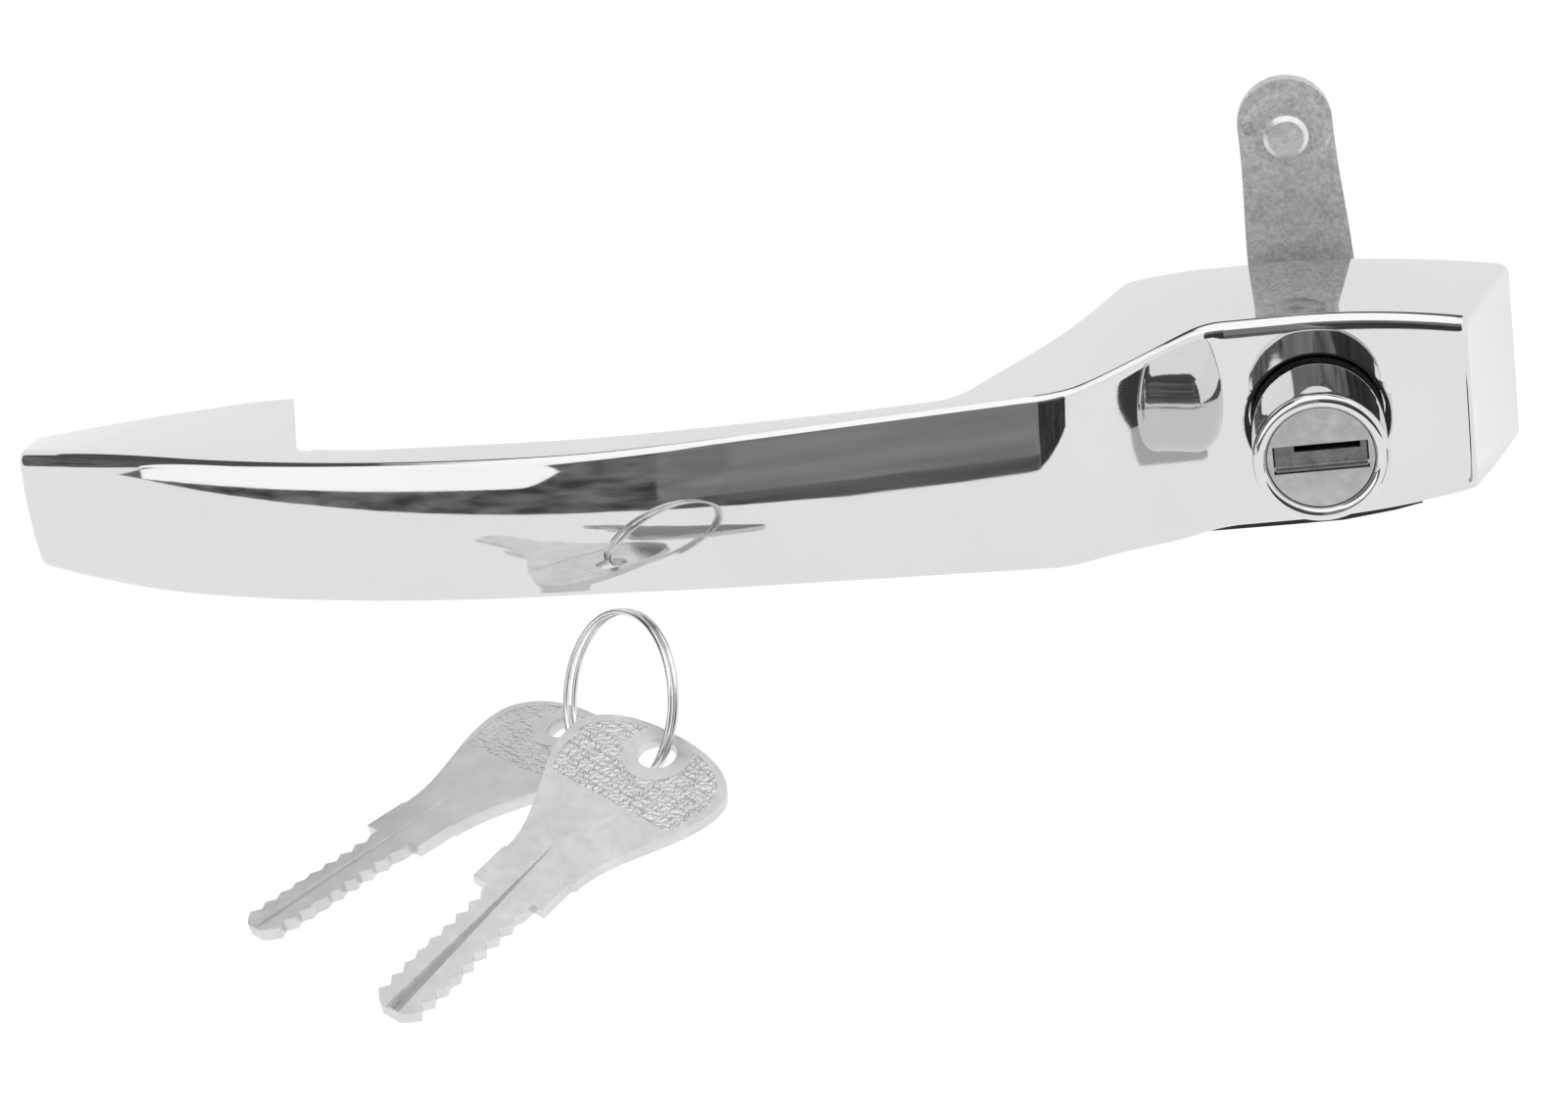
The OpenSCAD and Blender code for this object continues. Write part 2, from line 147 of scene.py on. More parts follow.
def zinc_plated_steel():
    m = Nodes("zinc_plated_steel", (0.6, 0.602, 0.597), 0.5, 0.5)
    m.colour(m.noise(1100, 7, 0.82, distortion=0.4), 0.72, 1.35, 0.38, 0.66)
    m.roughness(m.noise(520, 5), 0.4, 0.58)
    m.bump(m.cells(1300), 0.00002)
    m.bump(m.noise(2600, 3), 0.000012)
    return m.mat


def bright_steel():
    m = Nodes("bright_steel", (0.84, 0.843, 0.846), 0.3, 0.6)
    m.colour(m.noise(420, 4), 0.85, 1.07)
    m.roughness(m.noise(800, 4), 0.2, 0.36)
    m.bump(m.noise(1800, 3), 0.000012)
    return m.mat


def spring_steel():
    m = Nodes("spring_steel", (0.19, 0.192, 0.198), 0.32, 1)
    m.colour(m.noise(900, 4), 0.75, 1.15)
    m.roughness(m.noise(1200, 3), 0.24, 0.42)
    m.bump(m.noise(3500, 2, stretch=(1, 0.2, 1)), 0.000008)
    return m.mat


def nickel_key():
    m = Nodes("nickel_key", (0.69, 0.69, 0.682), 0.36, 1)
    m.colour(m.noise(160, 5, 0.6), 0.9, 1.07)
    m.roughness(m.noise(600, 5, 0.65), 0.28, 0.44)
    m.bump(m.noise(1500, 3, stretch=(0.25, 1, 1), turn=(0, 0, 0.9)), 0.000005)
    m.bump(m.noise(3800, 2), 0.000002)
    return m.mat


def ring_wire():
    m = Nodes("ring_wire", (0.78, 0.78, 0.79), 0.14, 1)
    m.colour(m.noise(500, 4), 0.88, 1.04)
    m.roughness(m.noise(900, 4), 0.1, 0.22)
    m.bump(m.noise(2600, 2), 0.000006)
    return m.mat


def wafer_brass():
    m = Nodes("wafer_brass", (0.72, 0.55, 0.25), 0.34, 1)
    m.colour(m.noise(380, 4), 0.82, 1.08)
    m.roughness(m.noise(700, 4), 0.28, 0.46)
    m.bump(m.noise(2000, 3), 0.00001)
    return m.mat


def seal_rubber():
    m = Nodes("seal_rubber", (0.018, 0.018, 0.02), 0.62)
    m.colour(m.noise(500, 4), 0.7, 1.6)
    m.roughness(m.noise(900, 3), 0.52, 0.74)
    m.bump(m.noise(3000, 3), 0.00003)
    return m.mat


def roller_nylon():
    m = Nodes("roller_nylon", (0.8, 0.8, 0.765), 0.42)
    m.bsdf.inputs["Subsurface Weight"].default_value = 0.15
    m.bsdf.inputs["Subsurface Scale"].default_value = 0.002
    m.colour(m.noise(260, 4), 0.94, 1.03)
    m.roughness(m.noise(600, 4), 0.34, 0.5)
    m.bump(m.noise(1800, 3), 0.00001)
    return m.mat


SLOTS = {f.__name__: f() for f in (
    chrome_plate, core_plate, die_cast_zinc, zinc_plated_steel, bright_steel, spring_steel,
    nickel_key, ring_wire, wafer_brass, seal_rubber, roller_nylon)}
NODE_SLOT = {s["node"]: s["material_slot"] for s in frame["record"]["subparts"]}


# ---------------------------------------------------------------- mesh helpers
def paint(obj, slot):
    obj.data.materials.clear()
    obj.data.materials.append(SLOTS[slot])


def mesh_object(name, verts, faces):
    me = bpy.data.meshes.new(name)
    me.from_pydata([tuple(v) for v in verts], [], faces)
    me.validate()
    obj = bpy.data.objects.new(name, me)
    bpy.context.scene.collection.objects.link(obj)
    return obj


def bm_object(name, bm):
    me = bpy.data.meshes.new(name)
    bm.to_mesh(me)
    bm.free()
    obj = bpy.data.objects.new(name, me)
    bpy.context.scene.collection.objects.link(obj)
    return obj


def apply_modifiers(obj):
    deps = bpy.context.evaluated_depsgraph_get()
    me = bpy.data.meshes.new_from_object(obj.evaluated_get(deps))
    obj.modifiers.clear()
    obj.data = me


def soften(obj, angle=32, flat_over=None):
    """Smooth shading with edges sharper than angle kept crisp; faces over flat_over mm2 stay flat."""
    bm = bmesh.new()
    bm.from_mesh(obj.data)
    limit = math.radians(angle)
    for f in bm.faces:
        f.smooth = flat_over is None or f.calc_area() < flat_over * MM * MM
    for e in bm.edges:
        e.smooth = len(e.link_faces) == 2 and e.calc_face_angle(0) < limit
    bm.to_mesh(obj.data)
    bm.free()


def cut(obj, cutters, operation="DIFFERENCE"):
    for c in cutters:
        m = obj.modifiers.new("cut", "BOOLEAN")
        m.operation = operation
        m.solver = "EXACT"
        m.object = c
    apply_modifiers(obj)
    for c in cutters:
        bpy.data.objects.remove(c)


def finish_piece(obj, node, body):
    """Makes obj a piece that replaces a CAD node, rides its body and wears its material."""
    slot = NODE_SLOT[node]
    paint(obj, slot)
    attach(obj, body)
    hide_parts(node)


def lathe(name, profile, centre=(0, 0, 0), steps=160):
    """Turns a closed profile of (radius, y) in mm about the y axis through centre, in mm."""
    verts, faces, n = [], [], len(profile)
    for i in range(steps):
        a = 2 * math.pi * i / steps
        for r, y in profile:
            point = (centre[0] + r * math.sin(a), centre[1] + y, centre[2] + r * math.cos(a))
            verts.append(tuple(c * MM for c in point))
    for i in range(steps):
        p, q = i * n, (i + 1) % steps * n
        for j in range(n):
            k = (j + 1) % n
            faces.append((p + j, p + k, q + k, q + j))
    obj = mesh_object(name, verts, faces)
    fix_normals(obj)
    return obj


def fix_normals(obj):
    bm = bmesh.new()
    bm.from_mesh(obj.data)
    bmesh.ops.remove_doubles(bm, verts=bm.verts, dist=1e-7)
    bmesh.ops.recalc_face_normals(bm, faces=bm.faces)
    bm.to_mesh(obj.data)
    bm.free()


def rod(r, start, end, across=0.0, z=0.0, steps=128, axis="y"):
    """Cylinder in mm along y or x, from start to end; across is where it lies on the other one."""
    bm = bmesh.new()
    angle, about = (-90, "X") if axis == "y" else (90, "Y")
    turn = Matrix.Rotation(math.radians(angle), 4, about)
    bmesh.ops.create_cone(bm, cap_ends=True, segments=steps, radius1=r * MM, radius2=r * MM,
                          depth=(end - start) * MM, matrix=turn)
    mid = (start + end) / 2
    shift = (across, mid, z) if axis == "y" else (mid, across, z)
    bmesh.ops.translate(bm, verts=bm.verts, vec=Vector(shift) * MM)
    return bm_object("rod", bm)


def block(x0, x1, y0, y1, z0, z1):
    """Box in mm."""
    bm = bmesh.new()
    bmesh.ops.create_cube(bm, size=1)
    for v in bm.verts:
        v.co = Vector(((x0 + (v.co.x + 0.5) * (x1 - x0)) * MM, (y0 + (v.co.y + 0.5) * (y1 - y0)) * MM,
                       (z0 + (v.co.z + 0.5) * (z1 - z0)) * MM))
    return bm_object("block", bm)


def arc(cx, cy, r, a0, a1, n):
    """Points of an arc in mm and degrees."""
    angles = [math.radians(a0 + (a1 - a0) * i / n) for i in range(n + 1)]
    return [(cx + r * math.cos(a), cy + r * math.sin(a)) for a in angles]


# ---------------------------------------------------------------- sizes, mm
BUTTON_X = 91.0
HOUSING_DEPTH = 23.0
GRIP_REACH = 42.4
GRIP_HALF = 13.3
END_LEFT = -140.3
FACE_END = 117.4
END_SKEW = 8.6          # the housing's right end leans outwards by this much towards the door
END_ROUND = 1.4
FACET = (48.0, 73.5)
FOOT_INNER = -91.0
NECK_X = 60.0
WALL = 2.5
SLEEVE_R = 11.4
GUIDE_END = -12.0
BUTTON_FRONT = -40.0
GUIDE_R = 14.0
SEAL_R = SLEEVE_R + 1
SEAL_BACK = 3.5         # depth of the rubber ring's seat behind the housing's face
FIXING_X = 114.0
FIXING_R = 2.5
FIXING_DEPTH = 14.0
PLATE_T = 2.0
SCREW_R = 1.5
LEVER_FRONT = 5.0
LEVER_T = 2.5
LEVER_END_R = 8.2
RIVET = (BUTTON_X - 1.2, 42.2)
PIVOT_Y, PIVOT_Z = 11.0, -10.0
AXIS_R = 0.01           # stands for the axis itself in a turned profile
PLATE_SCREWS = [(-20.5, 11.5), (-20.5, -11.5), (14.3, 12.3), (14.3, -12.3)]
# x, y and z, each from and to: around the lock, in the foot, above and below the right fixing
BODY_HOLLOWS = [(BUTTON_X - 25, BUTTON_X + 17.5, WALL - HOUSING_DEPTH, 1, -15.5, 15.5),
                (-133, -121, -7, 1, -6.5, 6.5),
                (BUTTON_X + 19, BUTTON_X + 29, -13, 1, 8, 12.5),
                (BUTTON_X + 19, BUTTON_X + 29, -13, 1, -12.5, -8)]


# ---------------------------------------------------------------- handle body
def clamp(v, a, b):
    return min(max(v, a), b)


def ease(t):
    """Smooth step from 0 to 1 as t goes from 0 to 1."""
    c = clamp(t, 0, 1)
    return c * c * (3 - 2 * c)


def corner(u, r):
    """0 while u is negative and then u, the bend between them rounded from -r to r."""
    return 0 if u <= -r else u if u >= r else (u + r) ** 2 / (4 * r)


def soft_max(a, b, r):
    """The larger of a and b, with the change from one to the other rounded."""
    return a + corner(b - a, r)


def grip_front(x):
    """y of the grip's front face, which curves back towards the door at the left."""
    return -GRIP_REACH + 28.9 * (max(0, -9 - x) / 130) ** 2.35 + 0.018 * max(0, x + 9)


def front_y(x):
    """y of the front: the grip, the slanted facet and the housing's face."""
    y0 = grip_front(FACET[0])
    slope = (-HOUSING_DEPTH - y0) / (FACET[1] - FACET[0])
    return grip_front(min(x, FACET[0])) + slope * (corner(x - FACET[0], 4) - corner(x - FACET[1], 3))


def back_y(x):
    """y of the back: the grip's inner side, with the door face at the foot and the housing."""
    grip = -34.3 + 8.3 * clamp((19 - x) / 104, 0, 1) ** 1.6
    return min(0, soft_max(soft_max(grip, -4.73 * (x - FOOT_INNER), 3), 1.214 * (x - NECK_X), 4))


def front_half(x):
    """Half the handle's height at its front edges."""
    return (GRIP_HALF + 0.0364 * (corner(x + 32, 8) - corner(x - 45, 4)) + 3 * ease((x - 49) / 26)
            - 3.3 * (max(0, x - 87) / 30.4) ** 2 - 1.7 * (max(0, -109 - x) / 28) ** 2)


def back_half(x):
    """Half the height at the back; the housing's sides spread towards the door, the foot's draw in."""
    draft = 0.075 * ease((x - 41) / 22) * (1 - clamp((x - 91) / 42, 0, 0.65))
    if x < FOOT_INNER + 8:
        draft -= 0.02 + 0.1 * max(0, -99 - x) / 38
    return front_half(x) + draft * (back_y(x) - front_y(x))


def front_round(x):
    """Radius along the front edges, larger at the left end and on the housing."""
    return 1.5 + 1.1 * ease((-104 - x) / 26) + 0.6 * ease((x - 64) / 9)


def back_round(x):
    """Radius along the back edges, larger on the grip."""
    return 0.4 + 1.8 * ease((x + 87) / 16) * (1 - ease((x - 26) / 12))


def crown(x):
    """How far the front face bulges between its top and bottom edges."""
    return 1.5 - 1.35 * ease((x - 40) / 26)


def section(x, d):
    """Closed loop of points in metres across the handle at x, drawn inwards by d."""
    rf, rr, c = front_round(x), back_round(x), crown(x)
    hf, hr, yf, yr = front_half(x) - d, back_half(x) - d, front_y(x) + d, back_y(x)
    z1 = hf - rf
    y1 = yf + c * (z1 / hf) ** 2
    top = [(yf + c * (z1 * f / hf) ** 2, z1 * f) for f in (i / 22 for i in range(22))]
    start = math.degrees(math.atan(2 * c * z1 / hf ** 2))
    top += [(y1 + rf - rf * math.cos(math.radians(a)), z1 + rf * math.sin(math.radians(a)))
            for a in np.linspace(start * 0.5, 90, 14)]
    ye, he = y1 + rf, z1 + rf
    bow = 0.02 + 0.06 * ease((x - 41) / 22)
    yb, hb = yr - rr, hr
    top += [(ye + (yb - ye) * t, he + (hb - he) * t + bow * (yb - ye) * t * (1 - t))
            for t in (i / 12 for i in range(1, 12))]
    top += [(yb + rr * math.cos(math.radians(a)), hr - rr + rr * math.sin(math.radians(a)))
            for a in np.linspace(90, 0, 8)]
    top += [(yr, (hr - rr) * t) for t in (0.75, 0.5, 0.25, 0.0)]
    loop = top + [(y, -z) for y, z in top[-2:0:-1]]
    shift = END_SKEW * clamp((x - 92) / (FACE_END - 92), 0, 1)
    return [((x + shift * clamp((y - yf) / -yf, 0, 1)) * MM, y * MM, z * MM) for y, z in loop]


def stations():
    """Where the sections are taken: (x, how far drawn inwards), rounded at both ends."""
    r = END_ROUND
    out = [(END_LEFT + r * (1 - math.cos(a)), r * (1 - math.sin(a))) for a in np.linspace(0, math.pi / 2, 9)]
    spans = [(-138.4, -93, 1.6), (-92.4, FOOT_INNER - 0.3, 0.4), (FOOT_INNER - 0.05, -78, 0.35),
             (-77.5, 16, 1.6), (17, 84, 0.7), (85, 115.4, 1.2)]
    for a, b, step in spans:
        out += [(x, 0) for x in np.arange(a, b, step)]
    out += [(FACE_END - r * (1 - math.cos(a)), r * (1 - math.sin(a))) for a in np.linspace(math.pi / 2, 0, 9)]
    return out


def handle_skin():
    rings = [section(x, d) for x, d in stations()]
    m, n = len(rings[0]), len(rings)
    faces = [(i * m + j, (i + 1) * m + j, (i + 1) * m + (j + 1) % m, i * m + (j + 1) % m)
             for i in range(n - 1) for j in range(m)]
    faces += [tuple(range(m)), tuple(range(n * m - 1, (n - 1) * m - 1, -1))]
    obj = mesh_object("handle_skin", [v for ring in rings for v in ring], faces)
    fix_normals(obj)
    return obj


def make_handle():
    """The hollow body, then the button's guide tube and the plate's screw bosses inside it."""
    obj = handle_skin()
    d = -HOUSING_DEPTH
    lip = 0.35              # radius on the mouth of the button's hole
    mouth = [(AXIS_R, d - 2), (SEAL_R + lip, d - 2), (SEAL_R + lip, d - 0.05)]
    mouth += arc(SEAL_R + lip, d + 0.3, lip, -90, -180, 5)
    mouth += [(SEAL_R, d + SEAL_BACK), (AXIS_R, d + SEAL_BACK)]
    cuts = [block(*hollow) for hollow in BODY_HOLLOWS]
    cuts += [rod(FIXING_R, -FIXING_DEPTH, 1, s * FIXING_X) for s in (-1, 1)]
    cuts += [lathe("mouth", mouth, (BUTTON_X, 0, 0), 192)]
    cut(obj, cuts)
    soften(obj)
    finish_piece(obj, "handle_body", "handle")
    root, bore, chamfer = d + WALL - 0.2, SLEEVE_R + 0.05, 0.4
    guide = [(GUIDE_R, root), (GUIDE_R, GUIDE_END - chamfer), (GUIDE_R - chamfer, GUIDE_END),
             (bore + chamfer, GUIDE_END), (bore, GUIDE_END - chamfer), (bore, d + SEAL_BACK),
             (SLEEVE_R + 0.5, d + SEAL_BACK), (SEAL_R, d + SEAL_BACK), (SEAL_R, root)]
    tube = lathe("handle_guide", guide, (BUTTON_X, 0, 0))
    soften(tube)
    finish_piece(tube, "handle_body", "handle")
    for i, (x, z) in enumerate(PLATE_SCREWS):
        boss = rod(3, root, -PLATE_T, BUTTON_X + x, z, 48)
        boss.name = f"handle_boss_{i}"
        cut(boss, [rod(SCREW_R, -10, 1, BUTTON_X + x, z, 32)])
        soften(boss)
        finish_piece(boss, "handle_body", "handle")


# ---------------------------------------------------------------- button
def make_sleeve():
    """The button's outer sleeve, with a rolled rim around the lock's face."""
    f = BUTTON_FRONT
    rim = [(10.35 + 1.2 * math.cos(a), f + 1.15 - 1.1 * math.sin(a)) for a in np.linspace(-0.5, math.pi, 26)]
    profile = [(SLEEVE_R, GUIDE_END), (SLEEVE_R, f + 3.0), (SLEEVE_R - 0.03, f + 2.3)] + rim
    profile += [(9.12, f + 1.4), (9.12, f + 2.6), (10.6, f + 2.6), (10.6, GUIDE_END)]
    obj = lathe("button_sleeve_visual", profile, (BUTTON_X, 0, 0), 224)
    soften(obj, 40)
    finish_piece(obj, "button_sleeve", "button")


# ---------------------------------------------------------------- lever
def lever_side(z):
    """Half the lever's width at height z."""
    return 9.25 - 1.05 * ease((z - 16) / 26)


def lever_outline():
    tilt, end_z = RIVET[0] - BUTTON_X, RIVET[1] + 1.8

    def edge(side, z):
        return BUTTON_X + tilt * clamp(z / 44, 0, 1) + side * lever_side(z), z

    heights = np.linspace(-12, 43, 40)
    pts = [edge(1, z) for z in heights]
    pts += [(BUTTON_X + tilt + x, end_z + y) for x, y in arc(0, 0, LEVER_END_R, 0, 180, 40)]
    return pts + [edge(-1, z) for z in heights[::-1]]


def prism(name, outline, y0, y1):
    """Outline of (x, z) in mm, from y0 to y1."""
    n = len(outline)
    verts = [(x * MM, y0 * MM, z * MM) for x, z in outline] + [(x * MM, y1 * MM, z * MM) for x, z in outline]
    faces = [tuple(range(n)), tuple(range(2 * n - 1, n - 1, -1))]
    faces += [(i, i + n, (i + 1) % n + n, (i + 1) % n) for i in range(n)]
    obj = mesh_object(name, verts, faces)
    fix_normals(obj)
    return obj


def bevel(obj, width, segments=3, angle=35):
    m = obj.modifiers.new("bevel", "BEVEL")
    m.width = width * MM
    m.segments = segments
    m.limit_method = "ANGLE"
    m.angle_limit = math.radians(angle)


def make_lever():
    """Flat lever with two ears on its pivot, a round embossed end and a punched dimple."""
    y0, ear_r = LEVER_FRONT, 4.3
    obj = prism("release_lever_visual", lever_outline(), y0, y0 + LEVER_T)
    emboss = [(AXIS_R, -0.5), (5.6, -0.5), (6.5, -0.42), (7.2, -0.2), (7.75, 0.0), (7.75, 0.8), (AXIS_R, 0.8)]
    dimple = [(AXIS_R, -1.5), (1.35, -1.5), (1.35, -0.05), (1.2, 0.3), (AXIS_R, 0.3)]
    adds = [lathe("boss", [(r, y0 + y) for r, y in emboss], (RIVET[0], 0, RIVET[1]), 96)]
    for s in (-1, 1):
        a, b = sorted((BUTTON_X + s * 6.9, BUTTON_X + s * 9.25))
        adds += [block(a, b, y0 + 1, PIVOT_Y, PIVOT_Z - 2, PIVOT_Z + 4.5),
                 rod(ear_r, a, b, PIVOT_Y, PIVOT_Z, 64, "x")]
    cut(obj, adds, "UNION")
    cut(obj, [rod(4.3, 0, 12, BUTTON_X + 7.8, 0, 64),
              lathe("dimple", [(r, y0 + y) for r, y in dimple], (RIVET[0] - 6.1, 0, RIVET[1] + 1.7), 40),
              rod(2.05, BUTTON_X - 15, BUTTON_X + 15, PIVOT_Y, PIVOT_Z, 64, "x")])
    bevel(obj, 0.3)
    apply_modifiers(obj)
    soften(obj, 38, 3)
    finish_piece(obj, "release_lever", "lever")


# ---------------------------------------------------------------- keys
KEY_LENGTH = 70.6
KEY_THICK = 2.1
KEY_FRONT, KEY_BACK = KEY_THICK * 0.4, -KEY_THICK * 0.6       # heights of the broad faces
BLADE_HALF = 4.42
HEAD_END = 8.65                                             # length of the head's rounded end
HEAD_U = KEY_LENGTH - HEAD_END
HEAD_HALF = 15.9
HOLE_U = KEY_LENGTH - 5.05
HOLE_R = 3.3
KEYS = {"key_front": ((-59.83, -133.46, -38.59), (15.23, -13.28, 52.29), "front_key"),
        "key_back": ((-85.46, -110.15, -35.13), (-1.32, -7.94, 43.58), "back_key")}


def head_half(u):
    """Half width of the key's head at u."""
    if u < HEAD_U:
        return 7.15 + (HEAD_HALF - 7.15) * ease((u - 36.3) / (HEAD_U - 36.3))
    s = clamp((u - HEAD_U) / HEAD_END, 0, 1) ** (1 / 0.9)
    return HEAD_HALF * max(0.0, 1 - s * s) ** 0.45


def blade_side(seed):
    """One cut edge of the blade; seed sets how deep its notches are."""
    out = [(0, 1.7), (0.75, 2.95)]
    for k in range(17):
        depth = 0.58 + 0.63 * abs(math.sin(math.radians(seed * k)))
        out.append((2.3 + 1.53 * k, BLADE_HALF - (depth if k % 2 else 0)))
    return out


def head_side(w0, u0):
    """One side of the shoulder and head; the shoulder starts at u0 and is w0 wide."""
    out = [(u0, BLADE_HALF), (u0, w0), (35.8, w0)]
    out += [(u, head_half(u)) for u in np.linspace(36.3, HEAD_U, 40)]
    out += [(HEAD_U + HEAD_END * math.sin(a) ** 0.9, HEAD_HALF * math.cos(a) ** 0.9)
            for a in np.linspace(0.06, math.pi / 2 - 1e-6, 28)]
    return out


def pebble(u, v):
    """Height from 0 to 1 of the worm-like texture pressed into the key's head."""
    a = math.sin(2.9 * u + 1.7 * math.sin(1.9 * v + 0.6 * u) + 0.9 * math.sin(4.3 * v))
    b = math.sin(3.3 * v + 1.9 * math.sin(2.3 * u - 0.7 * v) + 1.1 * math.sin(5.1 * u + 1.3))
    return 0.5 + 0.5 * clamp(a * b * 1.9 + 0.25, -1, 1)


def texture_cutter(side):
    """Solid whose inner face is pebbled; cutting it away leaves the pressed texture in the head."""
    z_face = KEY_FRONT if side > 0 else KEY_BACK
    nu, nv = 150, 250
    us = np.linspace(53.2, KEY_LENGTH - 1.4, nu)
    verts = []
    for layer in (0, 1):
        for u in us:
            half = max(head_half(u + 0.7) - 1.6, 0.4)
            for t in np.linspace(-1, 1, nv):
                depth = -0.4 if layer else 0.04 + 0.07 * (1 - pebble(u, t * half))
                verts.append((u * MM, t * half * MM, (z_face - side * depth) * MM))
    faces, off = [], nu * nv
    for i in range(nu - 1):
        for j in range(nv - 1):
            p = i * nv + j
            faces += [(p, p + nv, p + nv + 1, p + 1), (p + off, p + off + 1, p + off + nv + 1, p + off + nv)]
    ring = list(range(nv)) + [i * nv + nv - 1 for i in range(1, nu)]
    ring += [(nu - 1) * nv + j for j in range(nv - 2, -1, -1)] + [i * nv for i in range(nu - 2, 0, -1)]
    faces += [(a, b, b + off, a + off) for a, b in zip(ring, ring[1:] + ring[:1])]
    obj = mesh_object("texture", verts, faces)
    fix_normals(obj)
    return obj


def hole_rod(r):
    """Upright cylinder on the axis of the hole in the key's head."""
    bm = bmesh.new()
    bmesh.ops.create_cone(bm, cap_ends=True, segments=72, radius1=r * MM, radius2=r * MM, depth=6 * MM)
    bmesh.ops.translate(bm, verts=bm.verts, vec=Vector((HOLE_U, 0, 0)) * MM)
    return bm_object("hole", bm)


def slanted_groove():
    """Cutter for the groove in the front face, one side of it slanted, running out towards the head."""
    section_vz = [(-1.5, 0), (1.1, -0.75), (1.1, 2), (-1.5, 2)]
    verts = [(u * MM, v * MM, (KEY_FRONT + z + (u - 0.4) * math.tan(math.radians(1))) * MM)
             for u in (0.4, 40.4) for v, z in section_vz]
    faces = [(0, 1, 2, 3), (7, 6, 5, 4)] + [(i, (i + 1) % 4, (i + 1) % 4 + 4, i + 4) for i in range(4)]
    obj = mesh_object("groove", verts, faces)
    fix_normals(obj)
    return obj


def key_object():
    """One key with its tip at the origin, its blade along x and its broad faces across z."""
    right = blade_side(73) + head_side(6.5, 29.1)
    left = blade_side(104) + head_side(7.6, 28.4)
    loop = [(u, -v) for u, v in right] + left[-2::-1]
    n = len(loop)
    z0, z1 = KEY_BACK * MM, KEY_FRONT * MM
    verts = [(u * MM, v * MM, z0) for u, v in loop] + [(u * MM, v * MM, z1) for u, v in loop]
    faces = [tuple(range(n - 1, -1, -1)), tuple(range(n, 2 * n))]
    faces += [(i, (i + 1) % n, (i + 1) % n + n, i + n) for i in range(n)]
    obj = mesh_object("key", verts, faces)
    fix_normals(obj)
    cut(obj, [hole_rod(HOLE_R), slanted_groove(), block(1, 32, -2.7, -1.6, -3, KEY_BACK + 0.5)])
    bevel(obj, 0.22, angle=50)
    apply_modifiers(obj)
    for side in (1, -1):
        tool = texture_cutter(side)
        cut(tool, [hole_rod(HOLE_R + 2.6)])
        cut(obj, [tool])
    soften(obj, 42, 3)
    return obj


def make_keys():
    first = key_object()
    for node, (tip, turn, body) in KEYS.items():
        obj = bpy.data.objects.new(node + "_visual", first.data.copy())
        bpy.context.scene.collection.objects.link(obj)
        turned = Euler([math.radians(a) for a in turn], "XYZ").to_matrix().to_4x4()
        obj.data.transform(Matrix.Translation(Vector(tip) * MM) @ turned)
        finish_piece(obj, node, body)
    bpy.data.objects.remove(first)


RING_AT = (-27.27, -71.92, -18.05)
RING_R, RING_WIRE, RING_TURNS = 14.7, 0.5, 1.95             # wire is its radius
RING_LEAN, RING_TURN = 21.97, -50.62                        # degrees


def make_ring():
    """Split ring: two turns of round wire side by side, sprung slightly open on one side."""
    r, wire, turns = RING_R * MM, RING_WIRE * MM, RING_TURNS
    steps, sides = 420, 18
    place = (Matrix.Translation(Vector(RING_AT) * MM) @ Matrix.Rotation(math.radians(RING_TURN), 4, "Z")
             @ Matrix.Rotation(math.radians(90 - RING_LEAN), 4, "X"))
    verts = []
    for i in range(steps + 1):
        t = i / steps
        a = math.radians(290) + 2 * math.pi * turns * t
        z = turns * (t - 0.5) * (1.35 - 0.3 * math.cos(a)) * MM
        end = min(t, 1 - t) * 2 * math.pi * turns * r
        w = wire * (0.6 + 0.4 * math.sqrt(clamp(end / (0.5 * MM), 0, 1)))
        for j in range(sides):
            b = 2 * math.pi * j / sides
            rr = r + w * math.cos(b)
            verts.append(place @ Vector((rr * math.cos(a), rr * math.sin(a), z + w * math.sin(b))))
    faces = []
    for i in range(steps):
        p, q = i * sides, (i + 1) * sides
        faces += [(p + j, q + j, q + (j + 1) % sides, p + (j + 1) % sides) for j in range(sides)]
    faces += [tuple(range(sides - 1, -1, -1)), tuple(steps * sides + j for j in range(sides))]
    obj = mesh_object("key_ring_visual", verts, faces)
    fix_normals(obj)
    soften(obj, 40)
    finish_piece(obj, "key_ring", "ring")


# ---------------------------------------------------------------- kept CAD nodes
REPLACED = {"handle_body", "button_sleeve", "release_lever", "key_front", "key_back", "key_ring"}
BEVELS = {"back_plate": 0.25, "plate_screws": 0.12, "lock_barrel": 0.15, "lock_core": 0.1,
          "tail_cam": 0.2, "cam_screw": 0.12, "key_shutter": 0.08, "wafer_tumblers": 0.06,
          "lever_rivet": 0.12, "roller_washer": 0.08, "lever_roller": 0.2, "retaining_clip": 0.12,
          "pin_clips": 0.08, "pivot_pin": 0.12, "button_seal": 0.2}       # mm


def dress_cad():
    """Materials and fine edges for the CAD nodes that are shown as they are."""
    for node, obj in frame["nodes"].items():
        if node in REPLACED:
            continue
        paint(obj, NODE_SLOT[node])
        if node in BEVELS:
            bevel(obj, BEVELS[node], 2)


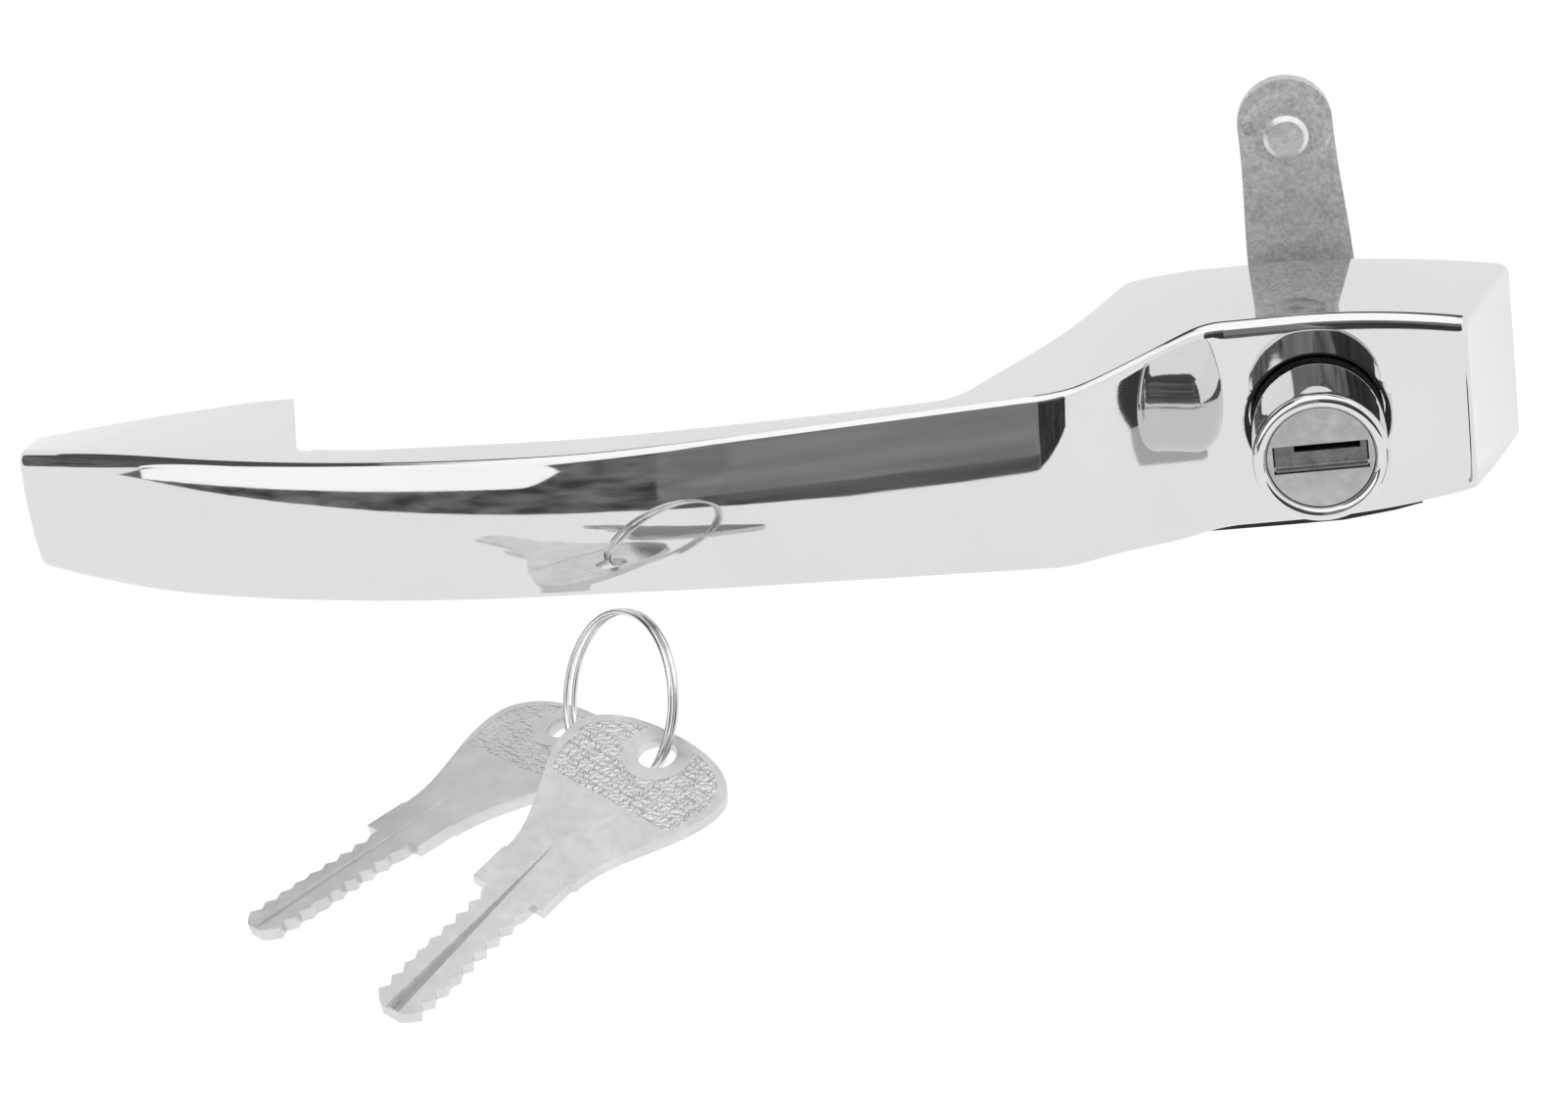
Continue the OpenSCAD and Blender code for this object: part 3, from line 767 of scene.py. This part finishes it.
# ---------------------------------------------------------------- stage
def glow(name, tone, mottle=0.0):
    """Stage card finish that gives off its own tone; mottle is how far it varies."""
    m = bpy.data.materials.new(name)
    m.use_nodes = True
    tree = m.node_tree
    b = tree.nodes["Principled BSDF"]
    b.inputs["Base Color"].default_value = (0, 0, 0, 1)
    b.inputs["Specular IOR Level"].default_value = 0
    b.inputs["Emission Color"].default_value = (tone, tone, tone * 1.005, 1)
    b.inputs["Emission Strength"].default_value = 1.0
    if mottle:
        coord = tree.nodes.new("ShaderNodeTexCoord")
        n = tree.nodes.new("ShaderNodeTexNoise")
        r = tree.nodes.new("ShaderNodeValToRGB")
        n.inputs["Scale"].default_value = 9
        n.inputs["Detail"].default_value = 6
        for e, v in zip(r.color_ramp.elements, (tone * (1 - mottle), tone * (1 + mottle))):
            e.color = (v, v, v, 1)
        r.color_ramp.elements[0].position, r.color_ramp.elements[1].position = 0.36, 0.64
        tree.links.new(coord.outputs["Object"], n.inputs["Vector"])
        tree.links.new(n.outputs["Fac"], r.inputs["Fac"])
        tree.links.new(r.outputs["Color"], b.inputs["Emission Color"])
    return m


def panel(name, az, el, tone, far, mottle, trim):
    """Curved card far metres away, seen in reflections only.

    az is in degrees from the front, el above level, both (from, to); trim is (how wide, how high)
    a piece is taken off the card's lower right corner."""
    n = 48
    verts, faces = [], []
    for i in range(n + 1):
        a = az[0] + (az[1] - az[0]) * i / n
        low = el[0] + (trim[1] * ease((a - az[1] + trim[0]) / trim[0]) if trim[0] else 0)
        for j in range(n + 1):
            e = math.radians(low + (el[1] - low) * j / n)
            side = far * math.cos(e)
            verts.append((side * math.sin(math.radians(a)), -side * math.cos(math.radians(a)),
                          far * math.sin(e)))
    for i in range(n):
        for j in range(n):
            p = i * (n + 1) + j
            faces.append((p, p + 1, p + n + 2, p + n + 1))
    obj = mesh_object(name, verts, faces)
    obj.data.materials.append(glow(name, tone, mottle))
    obj.visible_camera = False


FLOOR_Z = -0.02095      # height of the table under the door face, metres
FLOOR_DROP = 0.153      # the table falls away towards the front by this much per metre
CARD_LIFT = 0.0002      # the smaller cards lie this far above the table
FLOOR_CARDS = [         # name, outline in x and y in metres, tone, lift, whether the camera sees it
    ("floor", [(3, -0.3), (0.14, -0.24), (0.07, -0.222), (0.025, -0.185), (0.0, -0.176),
               (-0.076, -0.215), (-0.285, -0.275), (-0.7, -0.36), (-3, -0.62), (-3, 4), (2, 4)],
     1.06, 0.0, True),
    # painted contact shadow: a near-black card on the table under the housing's front bottom edge, seen
    # directly and reflected in that edge's roundover
    ("painted_contact_shadow", [(0.067, -0.0143), (0.0845, -0.0145), (0.094, -0.0145), (0.103, -0.0128),
                 (0.108, -0.0112), (0.108, 0.0), (0.060, 0.0)], 0.03, CARD_LIFT, True),
    ("shade", [(0.119, -0.055), (0.144, -0.067), (0.144, -0.052), (0.119, -0.042)],
     0.5, CARD_LIFT, False),
    ("dark_card", [(0.144, -0.067), (0.19, -0.098), (0.19, -0.064), (0.144, -0.052)],
     0.05, CARD_LIFT, False)]
PANELS = [              # what panel() takes; the softboxes are bright, the gaps and the room dark
    ("softbox_top", (-180, 180), (68, 90), 1.35, 1.6, 0.0, (0, 0)),
    ("softbox_front", (-56, 80), (33, 68), 1.35, 1.72, 0.0, (0, 0)),
    ("gap_left", (-110, -56), (33, 66), 0.1, 1.7, 0.0, (0, 0)),
    ("softbox_left", (-59, -10), (-7, 33), 1.3, 1.62, 0.0, (12, 24)),
    ("gap_back", (110, 186), (46, 66), 0.08, 1.6, 0.0, (0, 0)),
    ("gap_back_left", (212, 250), (40, 72), 0.08, 1.58, 0.0, (0, 0)),
    ("room_left", (-110, -8), (-60, 33), 0.14, 1.75, 0.6, (0, 0)),
    ("room_low", (-11, 4), (-60, -15), 0.12, 1.7, 0.3, (0, 0)),
    ("room_mid", (-12, 4), (-15, 33), 0.25, 1.6, 0.16, (0, 0)),
    ("room_right", (4, 42), (-60, 14), 0.05, 1.65, 0.4, (0, 0)),
    ("room_high", (4, 42), (14, 36), 0.2, 1.63, 0.5, (0, 0))]
WORLD_COLOUR, WORLD_STRENGTH = (0.99, 0.995, 1, 1), 1.04


def floor_card(name, outline, tone, lift, seen):
    verts = [(x, y, FLOOR_Z + FLOOR_DROP * y + lift) for x, y in outline]
    obj = mesh_object(name, verts, [tuple(range(len(outline)))])
    obj.data.materials.append(glow(name, tone))
    obj.visible_camera = seen


def make_stage():
    for card in FLOOR_CARDS:
        floor_card(*card)
    for card in PANELS:
        panel(*card)
    world = bpy.data.worlds.new("studio")
    world.use_nodes = True
    world.node_tree.nodes["Background"].inputs["Color"].default_value = WORLD_COLOUR
    world.node_tree.nodes["Background"].inputs["Strength"].default_value = WORLD_STRENGTH
    bpy.context.scene.world = world


CAMERA_AT = (0.0907, -0.6960, 0.2880)
CAMERA_LOOK = (-0.12665, 0.90392, -0.40851)
CAMERA_ROLL = 8.3       # degrees
CAMERA_LENS, CAMERA_SENSOR = 97.4, 36       # mm


def make_camera():
    cam = bpy.data.objects.new("camera", bpy.data.cameras.new("camera"))
    bpy.context.scene.collection.objects.link(cam)
    cam.data.sensor_width = CAMERA_SENSOR
    cam.data.lens = CAMERA_LENS
    cam.data.clip_start = 0.05
    cam.location = CAMERA_AT
    turned = Matrix.Rotation(-math.radians(CAMERA_ROLL), 3, "Z").to_quaternion()
    cam.rotation_mode = "QUATERNION"
    cam.rotation_quaternion = Vector(CAMERA_LOOK).to_track_quat("-Z", "Y") @ turned
    bpy.context.scene.camera = cam


make_handle()
make_sleeve()
make_lever()
make_keys()
make_ring()
dress_cad()
make_stage()
make_camera()
bpy.context.scene.view_settings.view_transform = "Standard"
